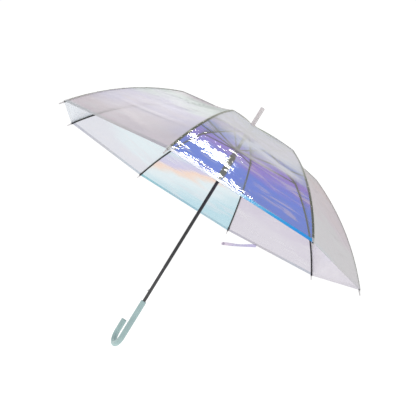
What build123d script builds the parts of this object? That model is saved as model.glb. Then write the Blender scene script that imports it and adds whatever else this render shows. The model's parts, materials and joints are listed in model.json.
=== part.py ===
from build123d import *
import math
import os

# A straight stick umbrella with eight ribs, in millimetres.
# +Z runs up the shaft to the ferrule. The origin is the middle of the grip, on the shaft's axis.
# The handle's hook points along +X.

# ---- Driving dimensions ----
RIB_COUNT = 8
RIB_PHASE = 11.0  # azimuth of rib 1, in degrees from the hook

RIM_RADIUS = 495.0  # shaft's axis to a canopy corner
DOME_HEIGHT = 260.2  # rim plane to the crown's top
STRETCHER_LENGTH = 235.0  # also the rib pivot to the knee joint
OPEN_ANGLE = 82.2  # inner rib's chord from the shaft, open
CLOSED_ANGLE = 4.0  # the same, closed
CLOSED_TIP_RADIUS = 16.0  # shaft's axis to a closed rib's end
INNER_SAG = 5.0  # how far the inner rib bows
OUTER_SAG = 20.0  # how far the outer rib bows
CUT = 1.0  # how far a cut runs past the piece it is made in
OVERLAP = 1.0  # how far two fused shapes run into each other

SHAFT_RADIUS = 5.0
SHAFT_WALL = 0.8
SHAFT_IN_HANDLE = 50.0
SHAFT_IN_FERRULE = 13.0
SHAFT_FIT = 0.05  # gap round the shaft where a piece is fixed to it
SLIDING_FIT = 0.2  # gap round the shaft where the runner slides

PIVOT_WALL = 2.4  # notched ring's wall between the shaft and the slots
PIVOT_GAP = 0.8  # slot's back wall to an eye
EYE_RADIUS = 1.8
EYE_GAP = 0.3  # slot's roof to an eye
WIRE_RADIUS = 0.45
WIRE_FIT = 0.1  # gap round the wire
TAB_THICKNESS = 1.2
SLOT_GAP = 0.5  # slot's width beyond the tab's
FLANGE_OVERHANG = 2.5  # notched ring's rim beyond the wire
FLANGE_BELOW = 3.0
FLANGE_ROOF = 1.1
CROWN_NECK_LENGTH = 18.0
CROWN_RISE = 17.0  # notched ring's top to the crown's top
CROWN_CAP_OVERHANG = 4.6  # crown's top disc beyond its post
CROWN_CAP = 2.0

RIB_WIDTH = 3.6
RIB_HEIGHT = 2.8
RIB_WALL = 0.6
RIB_CLEAR_OF_PIVOT = 5.5  # pivot to the start of the channel
STRETCHER_WIDTH = 3.2
STRETCHER_HEIGHT = 2.6
STRETCHER_WALL = 0.5
STRETCHER_STEP = 12.0  # knee joint to the block that carries the ears

TONGUE_THICKNESS = 1.6
TONGUE_WALL = 0.84  # round the knee's pin
TONGUE_LENGTH = 8.0
FORK_RIM = 0.6  # fork's outline beyond the pin's head
FORK_LENGTH = 5.0
KNEE_PIN_RADIUS = 1.0
KNEE_PIN_FIT = 0.06
KNEE_HEAD_OVERHANG = 0.6
KNEE_HEAD = 0.5
EAR_GAP = 0.3  # ear to the fork's side, and to the pin's head
EAR_THICKNESS = 0.8

TIP_COLLAR_RADIUS = 2.5
TIP_COLLAR_LENGTH = 4.0
TIP_RADIUS = 1.7
TIP_LENGTH = 13.0

FILM_CLEARANCE_SHARE = 0.14  # of the rib's width, from the fork's outline to the canopy's lower face
FILM_CROWN_GAP = 0.6  # crown's top to the canopy's inner edge
FILM_SAG = 3.0  # how far the inner canopy bows
FILM_THICKNESS = 0.4
FILM_SEAM = 0.3  # gap between neighbouring panels
FILM_FROM_FERRULE = 2.5  # ferrule's flange to the canopy's inner edge, at a rib

RUNNER_NECK_WALL = 2.4
RUNNER_NECK_LENGTH = 19.0
RUNNER_TAIL_WALL = 1.4
RUNNER_TAIL_LENGTH = 12.0
SLEEVE_WALL = 4.4
SLEEVE_LENGTH = 70.0
SLEEVE_LIP = 1.0
WINDOW_FROM_END = 20.0  # sleeve's lower end to the window's middle
WINDOW_LENGTH = 12.0
WINDOW_WIDTH = 2.6
RUNNER_GAP = 14.0  # closed runner to the handle

CATCH_AZIMUTH = RIB_PHASE + 22.5
CATCH_THICKNESS = 1.2
CATCH_SLOT_GAP = 0.3
CATCH_HEIGHT = 9.0
CATCH_PROUD = 0.8  # nose beyond the sleeve
CATCH_BASE = 2.0
CATCH_BASE_EXTRA = 2.0  # how much the base outreaches its slot at each end

FERRULE_WALL = 1.3  # round the shaft
FERRULE_END_WALL = 1.6  # beyond the shaft's end
FERRULE_LENGTH = 61.0
FERRULE_FLANGE_OVERHANG = 1.5  # beyond the crown's top disc
FERRULE_FLANGE = 1.8
FERRULE_GAP = 2.8  # crown's top to the ferrule's flange, where the canopy lies

GRIP_WALL = 3.5
HANDLE_TOP = 45.0
HANDLE_LENGTH = 156.0
HOOK_RADIUS = 31.75  # centreline of the bend
HOOK_END_DROP = 79.0  # handle's top down to the hook's end
HANDLE_TOP_ROUND = 2.5
HOOK_END_ROUND = 2.0

STRAP_GORE = 7
STRAP_SHARE = 0.64  # place along the hem, from the lower-numbered rib
STRAP_LENGTH = 138.0
STRAP_WIDTH = 12.0
STRAP_THICKNESS = 0.8
STRAP_SLOPE = 18.5  # how steeply it hangs below the hem
STRAP_HEM_GAP = 1.5
SNAP_RADIUS = 5.0
SNAP_HEIGHT = 1.6
SNAP_FROM_END = 9.0

# ---- Places worked out from them ----
RIB_STEP = 360 / RIB_COUNT
HALF_STEP = RIB_STEP / 2
WIRE_HOLE_RADIUS = WIRE_RADIUS + WIRE_FIT
NECK_RADIUS = SHAFT_RADIUS + PIVOT_WALL
PIVOT_RADIUS = NECK_RADIUS + PIVOT_GAP + EYE_RADIUS
FLANGE_RADIUS = PIVOT_RADIUS + FLANGE_OVERHANG
FLANGE_ABOVE = EYE_RADIUS + EYE_GAP + FLANGE_ROOF
CROWN_CAP_RADIUS = NECK_RADIUS + CROWN_CAP_OVERHANG
RUNNER_BORE = SHAFT_RADIUS + SLIDING_FIT
RUNNER_NECK_RADIUS = RUNNER_BORE + RUNNER_NECK_WALL
RUNNER_TAIL_RADIUS = RUNNER_BORE + RUNNER_TAIL_WALL
SLEEVE_RADIUS = RUNNER_BORE + SLEEVE_WALL
GRIP_RADIUS = SHAFT_RADIUS + GRIP_WALL
FERRULE_RADIUS = SHAFT_RADIUS + FERRULE_WALL
FERRULE_FLANGE_RADIUS = CROWN_CAP_RADIUS + FERRULE_FLANGE_OVERHANG

TRAVEL_OPEN = 2 * STRETCHER_LENGTH * math.cos(math.radians(OPEN_ANGLE))
TRAVEL_CLOSED = 2 * STRETCHER_LENGTH * math.cos(math.radians(CLOSED_ANGLE))
RUNNER_BELOW_PIVOT = FLANGE_ABOVE + RUNNER_NECK_LENGTH + SLEEVE_LENGTH
PIVOT_HEIGHT = HANDLE_TOP + RUNNER_GAP + RUNNER_BELOW_PIVOT + TRAVEL_CLOSED
RUNNER_HEIGHT = PIVOT_HEIGHT - TRAVEL_OPEN
SLEEVE_TOP = RUNNER_HEIGHT - FLANGE_ABOVE - RUNNER_NECK_LENGTH
SLEEVE_BOTTOM = SLEEVE_TOP - SLEEVE_LENGTH
WINDOW_HEIGHT = SLEEVE_BOTTOM + WINDOW_FROM_END
CLOSED_WINDOW_HEIGHT = WINDOW_HEIGHT - TRAVEL_CLOSED + TRAVEL_OPEN
CROWN_TOP = PIVOT_HEIGHT + FLANGE_ABOVE + CROWN_RISE
FERRULE_BOTTOM = CROWN_TOP + FERRULE_GAP
SHAFT_TOP = FERRULE_BOTTOM + SHAFT_IN_FERRULE
RIM_HEIGHT = CROWN_TOP - DOME_HEIGHT

RIB_START = (PIVOT_RADIUS, PIVOT_HEIGHT)
KNEE = (
    PIVOT_RADIUS + STRETCHER_LENGTH * math.sin(math.radians(OPEN_ANGLE)),
    PIVOT_HEIGHT - STRETCHER_LENGTH * math.cos(math.radians(OPEN_ANGLE)),
)
RIB_END = (RIM_RADIUS, RIM_HEIGHT)

KNEE_HOLE_RADIUS = KNEE_PIN_RADIUS + KNEE_PIN_FIT
KNEE_HEAD_RADIUS = KNEE_PIN_RADIUS + KNEE_HEAD_OVERHANG
TONGUE_RADIUS = KNEE_HOLE_RADIUS + TONGUE_WALL
FORK_RADIUS = KNEE_HEAD_RADIUS + FORK_RIM
EAR_INNER = RIB_WIDTH / 2 + EAR_GAP
EAR_OUTER = EAR_INNER + EAR_THICKNESS
KNEE_PIN_HALF = EAR_OUTER + EAR_GAP / 2
FILM_LIFT = FORK_RADIUS + FILM_CLEARANCE_SHARE * RIB_WIDTH
FILM_START = (FERRULE_FLANGE_RADIUS + FILM_FROM_FERRULE, CROWN_TOP + FILM_CROWN_GAP)
CATCH_SLOT_LENGTH = CATCH_HEIGHT + 2 * CATCH_SLOT_GAP
CATCH_NOSE = SLEEVE_RADIUS + CATCH_PROUD
CATCH_TRAVEL = CATCH_NOSE - SHAFT_RADIUS


class RibArc:
    """A circular arc in a rib's own upright plane, bowed upwards from its chord."""

    def __init__(self, start, end, sag):
        run = end[0] - start[0]
        fall = start[1] - end[1]
        chord = math.hypot(run, fall)
        self.chord = chord
        self.chord_slope = math.degrees(math.atan2(fall, run))
        self.bend = math.degrees(2 * math.atan(2 * sag / chord))
        self.radius = chord / 2 / math.sin(math.radians(self.bend))
        self.length = 2 * self.radius * math.radians(self.bend)
        first = math.radians(self.chord_slope - self.bend)
        self.centre = (
            start[0] - self.radius * math.sin(first),
            start[1] - self.radius * math.cos(first),
        )

    def slope(self, distance):
        """Degrees below level at a distance along the arc."""
        return self.chord_slope - self.bend + math.degrees(distance / self.radius)

    def point(self, distance, lift=0.0):
        """(radius from the shaft, height) at a distance along the arc, lifted square to it."""
        slope = math.radians(self.slope(distance))
        out = self.radius + lift
        return (self.centre[0] + out * math.sin(slope), self.centre[1] + out * math.cos(slope))

    def plane(self, distance):
        """The plane of a cross-section: its x is across the rib, its y is up."""
        slope = math.radians(self.slope(distance))
        r, z = self.point(distance)
        return Plane(
            origin=(r, 0, z),
            x_dir=(0, 1, 0),
            z_dir=(math.cos(slope), 0, -math.sin(slope)),
        )

    def sweep(self, section, begin, finish):
        """A solid with this cross-section between two distances along the arc."""
        axis = Axis((self.centre[0], 0, self.centre[1]), (0, 1, 0))
        turn = math.degrees((finish - begin) / self.radius)
        return revolve(self.plane(begin) * section, axis, turn)


INNER_ARC = RibArc(RIB_START, KNEE, INNER_SAG)
OUTER_ARC = RibArc(KNEE, RIB_END, OUTER_SAG)
FILM_ARC = RibArc(FILM_START, OUTER_ARC.point(0, FILM_LIFT), FILM_SAG)

# The joints' ranges: how far the two halves of a rib turn as the umbrella closes
CLOSED_KNEE_RADIUS = PIVOT_RADIUS + STRETCHER_LENGTH * math.sin(math.radians(CLOSED_ANGLE))
CLOSED_OUTER_LEAN = math.degrees(math.asin((CLOSED_TIP_RADIUS - CLOSED_KNEE_RADIUS) / OUTER_ARC.chord))
INNER_TURN = OPEN_ANGLE - CLOSED_ANGLE
OUTER_TURN = 90 - OUTER_ARC.chord_slope - CLOSED_OUTER_LEAN


def azimuth(rib):
    """Direction of a rib, numbered from 1, in degrees from +X."""
    return RIB_PHASE + RIB_STEP * (rib - 1)


def in_rib_plane(r, z, slope):
    """A plane in a rib's upright plane: x runs along the slope and outwards, y is up from it."""
    turn = math.radians(slope)
    return Plane(origin=(r, 0, z), x_dir=(math.cos(turn), 0, -math.sin(turn)), z_dir=(0, -1, 0))


def across(plane, sketch, thickness):
    """A plate of a sketch, with half its thickness on each side of the plane."""
    return extrude(plane * sketch, thickness / 2, both=True)


def channel(width, height, wall):
    """A trough's section, open at the bottom."""
    return Rectangle(width, height) - Pos(0, -wall) * Rectangle(width - 2 * wall, height)


def eye_tab(length):
    """Outline of a flat end with an eye round the origin."""
    bar = Pos(length / 2, 0) * Rectangle(length, 2 * EYE_RADIUS - OVERLAP)
    return Circle(EYE_RADIUS) + bar - Circle(WIRE_HOLE_RADIUS)


def cylinder_between(radius, low, high):
    """An upright cylinder on the shaft's axis."""
    return Pos(0, 0, (low + high) / 2) * Cylinder(radius, high - low)


def tube_between(outer, inner, low, high):
    """An upright tube on the shaft's axis."""
    return cylinder_between(outer, low, high) - cylinder_between(inner, low, high)


# ---- Shaft and handle ----
def make_shaft_tube():
    low = HANDLE_TOP - SHAFT_IN_HANDLE
    tube = tube_between(SHAFT_RADIUS, SHAFT_RADIUS - SHAFT_WALL, low, SHAFT_TOP)
    width = CATCH_THICKNESS + 2 * CATCH_SLOT_GAP
    for height in (WINDOW_HEIGHT, CLOSED_WINDOW_HEIGHT):
        slot = Pos(SHAFT_RADIUS, 0, height) * Box(2 * SHAFT_RADIUS, width, CATCH_SLOT_LENGTH)
        tube -= Rot(0, 0, CATCH_AZIMUTH) * slot
    return tube


def make_handle():
    bottom = HANDLE_TOP - HANDLE_LENGTH
    bend_height = bottom + GRIP_RADIUS + HOOK_RADIUS
    hook_end = HANDLE_TOP - HOOK_END_DROP
    grip = Line((0, 0, HANDLE_TOP), (0, 0, bend_height))
    bend = ThreePointArc(
        (0, 0, bend_height),
        (HOOK_RADIUS, 0, bend_height - HOOK_RADIUS),
        (2 * HOOK_RADIUS, 0, bend_height),
    )
    leg = Line((2 * HOOK_RADIUS, 0, bend_height), (2 * HOOK_RADIUS, 0, hook_end))
    start = Plane(origin=(0, 0, HANDLE_TOP), z_dir=(0, 0, -1))
    handle = sweep(start * Circle(GRIP_RADIUS), path=Wire([grip, bend, leg]))
    rims = handle.edges().filter_by(GeomType.CIRCLE).group_by(Axis.Z)
    handle = fillet(rims[-1], HANDLE_TOP_ROUND)
    leg_rims = handle.edges().filter_by(GeomType.CIRCLE).filter_by_position(
        Axis.X, HOOK_RADIUS, 3 * HOOK_RADIUS
    )
    handle = fillet(leg_rims.group_by(Axis.Z)[-1], HOOK_END_ROUND)
    bore = SHAFT_RADIUS + SHAFT_FIT
    return handle - cylinder_between(bore, HANDLE_TOP - SHAFT_IN_HANDLE, HANDLE_TOP + CUT)


def make_ferrule():
    low = FERRULE_BOTTOM
    high = low + FERRULE_LENGTH
    flange = Pos(0, 0, low + FERRULE_FLANGE / 2) * Cylinder(FERRULE_FLANGE_RADIUS, FERRULE_FLANGE)
    flange = fillet(flange.edges().group_by(Axis.Z)[-1], FERRULE_FLANGE / 2)
    ferrule = flange + cylinder_between(FERRULE_RADIUS, low, high)
    rim = ferrule.edges().filter_by(GeomType.CIRCLE).group_by(Axis.Z)[-1]
    ferrule = fillet(rim, FERRULE_END_WALL / 3)
    ferrule -= cylinder_between(SHAFT_RADIUS + SHAFT_FIT, low - CUT, SHAFT_TOP)
    return ferrule - cylinder_between(FERRULE_RADIUS - FERRULE_END_WALL, SHAFT_TOP, high + CUT)


# ---- Notched rings that hold the rib and stretcher ends ----
def notched_ring(neck_length):
    """A slotted flange with its wire groove round the origin, open slots facing down."""
    ring = cylinder_between(FLANGE_RADIUS, -FLANGE_BELOW, FLANGE_ABOVE)
    ring += cylinder_between(NECK_RADIUS, -FLANGE_BELOW - neck_length, -FLANGE_BELOW)
    slot_width = TAB_THICKNESS + SLOT_GAP
    slot_length = FLANGE_RADIUS - NECK_RADIUS + CUT
    roof = EYE_RADIUS + EYE_GAP
    slot_height = FLANGE_BELOW + roof + CUT
    slot = Pos(NECK_RADIUS + slot_length / 2, 0, roof - slot_height / 2)
    slot = slot * Box(slot_length, slot_width, slot_height)
    for rib in range(1, RIB_COUNT + 1):
        ring -= Rot(0, 0, azimuth(rib)) * slot
    return ring - Torus(PIVOT_RADIUS, WIRE_HOLE_RADIUS)


def pivot_wire():
    """The wire ring that every eye turns on."""
    return Torus(PIVOT_RADIUS, WIRE_RADIUS)


def make_crown():
    crown = Pos(0, 0, PIVOT_HEIGHT) * notched_ring(CROWN_NECK_LENGTH)
    crown += cylinder_between(NECK_RADIUS, PIVOT_HEIGHT, CROWN_TOP)
    crown += cylinder_between(CROWN_CAP_RADIUS, CROWN_TOP - CROWN_CAP, CROWN_TOP)
    low = PIVOT_HEIGHT - FLANGE_BELOW - CROWN_NECK_LENGTH
    return crown - cylinder_between(SHAFT_RADIUS + SHAFT_FIT, low - CUT, CROWN_TOP + CUT)


def make_crown_wire():
    return Pos(0, 0, PIVOT_HEIGHT) * pivot_wire()


# ---- Runner ----
def make_runner_hub():
    ring = Rot(180, 0, 0) * notched_ring(FLANGE_BELOW)
    ring = Rot(0, 0, 2 * RIB_PHASE) * ring
    neck_low = SLEEVE_TOP - RUNNER_HEIGHT
    tail_low = neck_low - RUNNER_TAIL_LENGTH
    ring += cylinder_between(RUNNER_NECK_RADIUS, neck_low, -FLANGE_ABOVE)
    ring += cylinder_between(RUNNER_TAIL_RADIUS, tail_low, neck_low)
    ring -= cylinder_between(RUNNER_BORE, tail_low - CUT, 2 * FLANGE_BELOW + CUT)
    return Pos(0, 0, RUNNER_HEIGHT) * ring


def make_runner_wire():
    return Pos(0, 0, RUNNER_HEIGHT) * pivot_wire()


def make_runner_sleeve():
    sleeve = cylinder_between(SLEEVE_RADIUS, SLEEVE_BOTTOM, SLEEVE_TOP)
    lip_top = SLEEVE_BOTTOM + 4 * SLEEVE_LIP
    lip = cylinder_between(SLEEVE_RADIUS + SLEEVE_LIP, SLEEVE_BOTTOM, lip_top)
    sleeve += fillet(lip.edges(), SLEEVE_LIP * 0.9)
    sleeve -= cylinder_between(RUNNER_BORE, SLEEVE_BOTTOM - CUT, SLEEVE_TOP + CUT)
    socket_low = SLEEVE_TOP - RUNNER_TAIL_LENGTH - SHAFT_FIT
    sleeve -= cylinder_between(RUNNER_TAIL_RADIUS + SHAFT_FIT, socket_low, SLEEVE_TOP + CUT)
    window = Box(2 * SLEEVE_RADIUS, WINDOW_WIDTH, WINDOW_LENGTH)
    return sleeve - Rot(0, 0, CATCH_AZIMUTH) * Pos(SLEEVE_RADIUS, 0, WINDOW_HEIGHT) * window


# ---- Catches ----
def make_catch(height, shoulder):
    """A flat spring catch. Its shoulder faces up (1) or down (-1), and a ramp leads to it."""
    back = SHAFT_RADIUS - SHAFT_WALL - CATCH_SLOT_GAP / 2
    half = CATCH_HEIGHT / 2
    base = Pos(back - CATCH_BASE / 2, 0)
    base = base * Rectangle(CATCH_BASE, CATCH_SLOT_LENGTH + 2 * CATCH_BASE_EXTRA)
    nose = Polygon(
        (back - CATCH_BASE / 2, -half),
        (SHAFT_RADIUS, -half),
        (CATCH_NOSE, half - CATCH_BASE),
        (CATCH_NOSE, half),
        (back - CATCH_BASE / 2, half),
        align=None,
    )
    outline = base + nose
    if shoulder < 0:
        outline = mirror(outline, Plane.XZ)
    plate = across(in_rib_plane(0, height, 0), outline, CATCH_THICKNESS)
    return Rot(0, 0, CATCH_AZIMUTH) * plate


# ---- Ribs and stretchers, made along +X and then turned to their azimuth ----
def make_rib_inner():
    section = channel(RIB_WIDTH, RIB_HEIGHT, RIB_WALL)
    solid_section = Rectangle(RIB_WIDTH, RIB_HEIGHT)
    neck = RIB_CLEAR_OF_PIVOT
    tab = across(in_rib_plane(*RIB_START, INNER_ARC.slope(0)), eye_tab(neck + OVERLAP), TAB_THICKNESS)
    end = INNER_ARC.length
    bar_length = TONGUE_LENGTH + OVERLAP
    tongue_bar = Pos(-bar_length / 2, 0) * Rectangle(bar_length, 2 * TONGUE_RADIUS - OVERLAP)
    tongue = Circle(TONGUE_RADIUS) + tongue_bar - Circle(KNEE_HOLE_RADIUS)
    return (
        tab
        + INNER_ARC.sweep(solid_section, neck, neck + RIB_HEIGHT)
        + INNER_ARC.sweep(section, neck + RIB_HEIGHT, end - TONGUE_LENGTH - RIB_HEIGHT)
        + INNER_ARC.sweep(solid_section, end - TONGUE_LENGTH - RIB_HEIGHT, end - TONGUE_LENGTH)
        + across(in_rib_plane(*KNEE, INNER_ARC.slope(end)), tongue, TONGUE_THICKNESS)
    )


def make_rib_outer():
    section = channel(RIB_WIDTH, RIB_HEIGHT, RIB_WALL)
    knee_plane = in_rib_plane(*KNEE, OUTER_ARC.slope(0))
    cheek = Circle(FORK_RADIUS) + Pos(FORK_LENGTH / 2, 0) * Rectangle(FORK_LENGTH, RIB_HEIGHT)
    inside = Rectangle(4 * FORK_LENGTH, 4 * FORK_RADIUS)
    fork = across(knee_plane, cheek, RIB_WIDTH)
    fork -= across(knee_plane, inside, RIB_WIDTH - 2 * RIB_WALL)
    pin = across(knee_plane, Circle(KNEE_PIN_RADIUS), 2 * KNEE_PIN_HALF)
    heads = across(knee_plane, Circle(KNEE_HEAD_RADIUS), 2 * (KNEE_PIN_HALF + KNEE_HEAD))
    heads -= across(knee_plane, Circle(KNEE_HEAD_RADIUS + CUT), 2 * KNEE_PIN_HALF)
    return fork + OUTER_ARC.sweep(section, FORK_LENGTH - OVERLAP, OUTER_ARC.length) + pin + heads


def make_rib_tip():
    end_plane = OUTER_ARC.plane(OUTER_ARC.length)
    collar = extrude(end_plane * Circle(TIP_COLLAR_RADIUS), TIP_COLLAR_LENGTH)
    collar = fillet(collar.edges(), TIP_COLLAR_RADIUS / 4)
    inside_collar = TIP_COLLAR_LENGTH / 2
    stem = extrude(end_plane.offset(inside_collar) * Circle(TIP_RADIUS), TIP_LENGTH - inside_collar)
    return collar + stem + end_plane.offset(TIP_LENGTH) * Sphere(TIP_RADIUS)


def make_stretcher():
    rise = 90 - OPEN_ANGLE
    foot = in_rib_plane(PIVOT_RADIUS, RUNNER_HEIGHT, -rise)
    far = in_rib_plane(*KNEE, -rise)
    along = Plane(origin=foot.origin, x_dir=(0, 1, 0), z_dir=foot.x_dir)
    trough = Rot(0, 0, 180) * channel(STRETCHER_WIDTH, STRETCHER_HEIGHT, STRETCHER_WALL)
    solid_section = Rectangle(STRETCHER_WIDTH, STRETCHER_HEIGHT)
    block_section = Rectangle(2 * EAR_OUTER, STRETCHER_HEIGHT)
    neck = RIB_CLEAR_OF_PIVOT
    trough_start = neck + STRETCHER_HEIGHT
    block_start = STRETCHER_LENGTH - STRETCHER_STEP - STRETCHER_HEIGHT
    bar_length = STRETCHER_STEP + OVERLAP
    bar = Pos(-bar_length / 2, 0) * Rectangle(bar_length, STRETCHER_HEIGHT)
    cheek = Circle(FORK_RADIUS) + bar - Circle(KNEE_HOLE_RADIUS)
    inside = Rectangle(4 * STRETCHER_STEP, 4 * FORK_RADIUS)
    ears = across(far, cheek, 2 * EAR_OUTER) - across(far, inside, 2 * EAR_INNER)
    return (
        across(foot, eye_tab(neck + OVERLAP), TAB_THICKNESS)
        + extrude(along.offset(neck) * solid_section, STRETCHER_HEIGHT)
        + extrude(along.offset(trough_start) * trough, block_start - trough_start)
        + extrude(along.offset(block_start) * block_section, STRETCHER_HEIGHT)
        + ears
    )


# ---- Canopy panels, made along +X over a rib, from mid-gore to mid-gore ----
def gore_point(arc, distance, lift):
    """A point of a gore's middle line, which is level with the ribs and nearer to the shaft."""
    r, z = arc.point(distance, lift)
    return (r * math.cos(math.radians(HALF_STEP)), 0, z)


def make_canopy_panel(arc, lift, begin, finish):
    """A thin panel with a ridge over its rib, straight across to the middle of each gore."""
    distances = (begin, (begin + finish) / 2, finish)
    low = [gore_point(arc, distance, lift) for distance in distances]
    high = [gore_point(arc, distance, lift + FILM_THICKNESS) for distance in distances]
    outline = Wire(
        [
            ThreePointArc(*low),
            Line(low[2], high[2]),
            ThreePointArc(*reversed(high)),
            Line(high[0], low[0]),
        ]
    )
    slope = math.tan(math.radians(HALF_STEP))
    band = extrude(Face(outline), RIM_RADIUS, dir=(0, -1, 0))
    edge = FILM_SEAM / 2
    wedge = Polygon(
        (edge / slope, -edge),
        (2 * RIM_RADIUS, -2 * RIM_RADIUS * slope),
        (2 * RIM_RADIUS, -edge),
        align=None,
    )
    half = Rot(0, 0, HALF_STEP) * (band & extrude(wedge, FERRULE_BOTTOM + FERRULE_LENGTH))
    return half + mirror(half, Plane.XZ)


def make_canopy_inner():
    return make_canopy_panel(FILM_ARC, 0, 0, FILM_ARC.length - FILM_SEAM / 2)


def make_canopy_outer():
    return make_canopy_panel(OUTER_ARC, FILM_LIFT, FILM_SEAM / 2, OUTER_ARC.length)


def strap_frame():
    """The strap's own plane: x along it from the hem, y across it, z outwards."""
    first = math.radians(azimuth(STRAP_GORE))
    second = math.radians(azimuth(STRAP_GORE + 1))
    start = Vector(RIM_RADIUS * math.cos(first), RIM_RADIUS * math.sin(first), RIM_HEIGHT)
    end = Vector(RIM_RADIUS * math.cos(second), RIM_RADIUS * math.sin(second), RIM_HEIGHT)
    chord = (end - start).normalized()
    outward = chord.cross(Vector(0, 0, 1))
    slope = math.radians(STRAP_SLOPE)
    along = chord * math.cos(slope) - Vector(0, 0, 1) * math.sin(slope)
    hang = Vector(0, 0, -1) * (STRAP_HEM_GAP + STRAP_WIDTH / 2)
    place = start + (end - start) * STRAP_SHARE + hang
    return Plane(origin=place, x_dir=along, z_dir=outward)


def make_strap():
    outline = Pos(STRAP_LENGTH / 2, 0) * RectangleRounded(STRAP_LENGTH, STRAP_WIDTH, STRAP_WIDTH / 3)
    return extrude(strap_frame() * outline, STRAP_THICKNESS / 2, both=True)


def make_strap_snap():
    lift = (STRAP_THICKNESS + SNAP_HEIGHT) / 2
    place = strap_frame() * Pos(STRAP_LENGTH - SNAP_FROM_END, 0, lift)
    cap = Cylinder(SNAP_RADIUS, SNAP_HEIGHT)
    return place * fillet(cap.edges().group_by(Axis.Z)[-1], SNAP_HEIGHT / 2)


def all_parts():
    """Every piece of the umbrella, by name."""
    parts = {
        "shaft_tube": make_shaft_tube(),
        "handle": make_handle(),
        "ferrule": make_ferrule(),
        "crown": make_crown(),
        "crown_wire": make_crown_wire(),
        "runner_hub": make_runner_hub(),
        "runner_sleeve": make_runner_sleeve(),
        "runner_wire": make_runner_wire(),
        "top_catch": make_catch(WINDOW_HEIGHT, 1),
        "bottom_catch": make_catch(CLOSED_WINDOW_HEIGHT, -1),
        "closure_strap": make_strap(),
        "strap_snap": make_strap_snap(),
    }
    at_rib = {
        "rib_inner": make_rib_inner(),
        "rib_outer": make_rib_outer(),
        "rib_tip": make_rib_tip(),
        "stretcher": make_stretcher(),
        "canopy_inner": make_canopy_inner(),
        "canopy_outer": make_canopy_outer(),
    }
    for rib in range(1, RIB_COUNT + 1):
        for name, piece in at_rib.items():
            parts[f"{name}_{rib}"] = Rot(0, 0, azimuth(rib)) * piece
    return parts


os.makedirs("parts", exist_ok=True)
for name, piece in all_parts().items():
    export_step(piece, f"parts/{name}.step")
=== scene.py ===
"""A straight stick umbrella with a dome of clear iridescent film.

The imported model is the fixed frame. The canopy's film, its welded seams and hems and the closure strap
are built here as thin sheets, and every piece of the frame gets its finish.
"""

import json
import logging
import math
from dataclasses import dataclass, field
from enum import Enum
from typing import Iterable, Sequence

import bpy
import numpy as np
from mathutils import Matrix, Vector


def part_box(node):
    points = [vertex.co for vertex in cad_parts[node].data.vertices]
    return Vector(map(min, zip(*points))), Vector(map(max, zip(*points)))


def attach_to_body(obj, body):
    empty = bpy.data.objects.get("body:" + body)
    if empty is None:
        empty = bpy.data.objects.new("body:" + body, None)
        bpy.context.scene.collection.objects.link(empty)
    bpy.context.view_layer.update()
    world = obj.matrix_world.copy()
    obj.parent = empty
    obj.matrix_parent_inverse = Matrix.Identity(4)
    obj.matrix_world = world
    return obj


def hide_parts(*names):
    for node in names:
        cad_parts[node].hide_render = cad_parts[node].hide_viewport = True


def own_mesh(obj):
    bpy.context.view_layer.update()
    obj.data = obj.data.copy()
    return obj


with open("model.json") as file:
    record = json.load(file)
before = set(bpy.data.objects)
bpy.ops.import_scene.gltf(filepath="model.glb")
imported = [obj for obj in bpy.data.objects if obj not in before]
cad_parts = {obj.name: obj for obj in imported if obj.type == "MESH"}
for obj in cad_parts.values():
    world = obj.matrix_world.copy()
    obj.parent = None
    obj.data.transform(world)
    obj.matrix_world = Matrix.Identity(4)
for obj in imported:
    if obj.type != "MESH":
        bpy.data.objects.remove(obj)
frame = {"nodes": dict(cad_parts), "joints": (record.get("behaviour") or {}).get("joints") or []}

LOG = logging.getLogger("umbrella")
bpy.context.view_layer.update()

RGB = tuple[float, float, float]
Point2 = tuple[float, float]
Point3 = tuple[float, float, float]

MM = 0.001
RIB_COUNT = 8
HALF_STEP = math.pi / RIB_COUNT
# The gore whose film carries a painted reflection: its blue-violet bands stand in for what the dichroic film
# reflects from this view.
PAINTED_REFLECTION_GORE = 4
LEAST_SHEET_WIDTH = 10 * MM
PLASTIC_INDEX = 1.5
PLASTIC_SCATTER = 10 * MM
COAT_ROUGHNESS = 0.08
ROUGHNESS_SPREAD = 0.16
PARTING_SHADE = (0.2, 0.26, 0.26)
PARTING_WIDTH = (0.1 * MM, 0.4 * MM)
PARTING_DARKNESS = 0.35
PARTING_DEPTH = 2.0
EDGE_FROM = (0.3, 0.9)
SCUFF_STRETCH = (1.0, 1.0, 0.12)
STREAK_FROM = (0.52, 0.66)


def joint(name: str) -> dict:
    """The record's joint of that name."""
    return next(j for j in frame["joints"] if j["name"] == name)


def upright(point: Sequence[float]) -> Point2:
    """A point of the frame as (distance from the shaft's axis, height)."""
    return math.hypot(point[0], point[1]), point[2]


FIRST_RIB = math.atan2(joint("fold")["pos_m"][1], joint("fold")["pos_m"][0])


def rib_azimuth(number: float) -> float:
    """Direction of a rib, numbered from 1, in radians from the hook. A half lies between two ribs."""
    return FIRST_RIB + 2 * HALF_STEP * (number - 1)


# ---- Shapes shared by the canopy's pieces ----


class Half(Enum):
    """The two lengths of a rib, and of the canopy over it."""

    INNER = "inner"
    OUTER = "outer"


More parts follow.
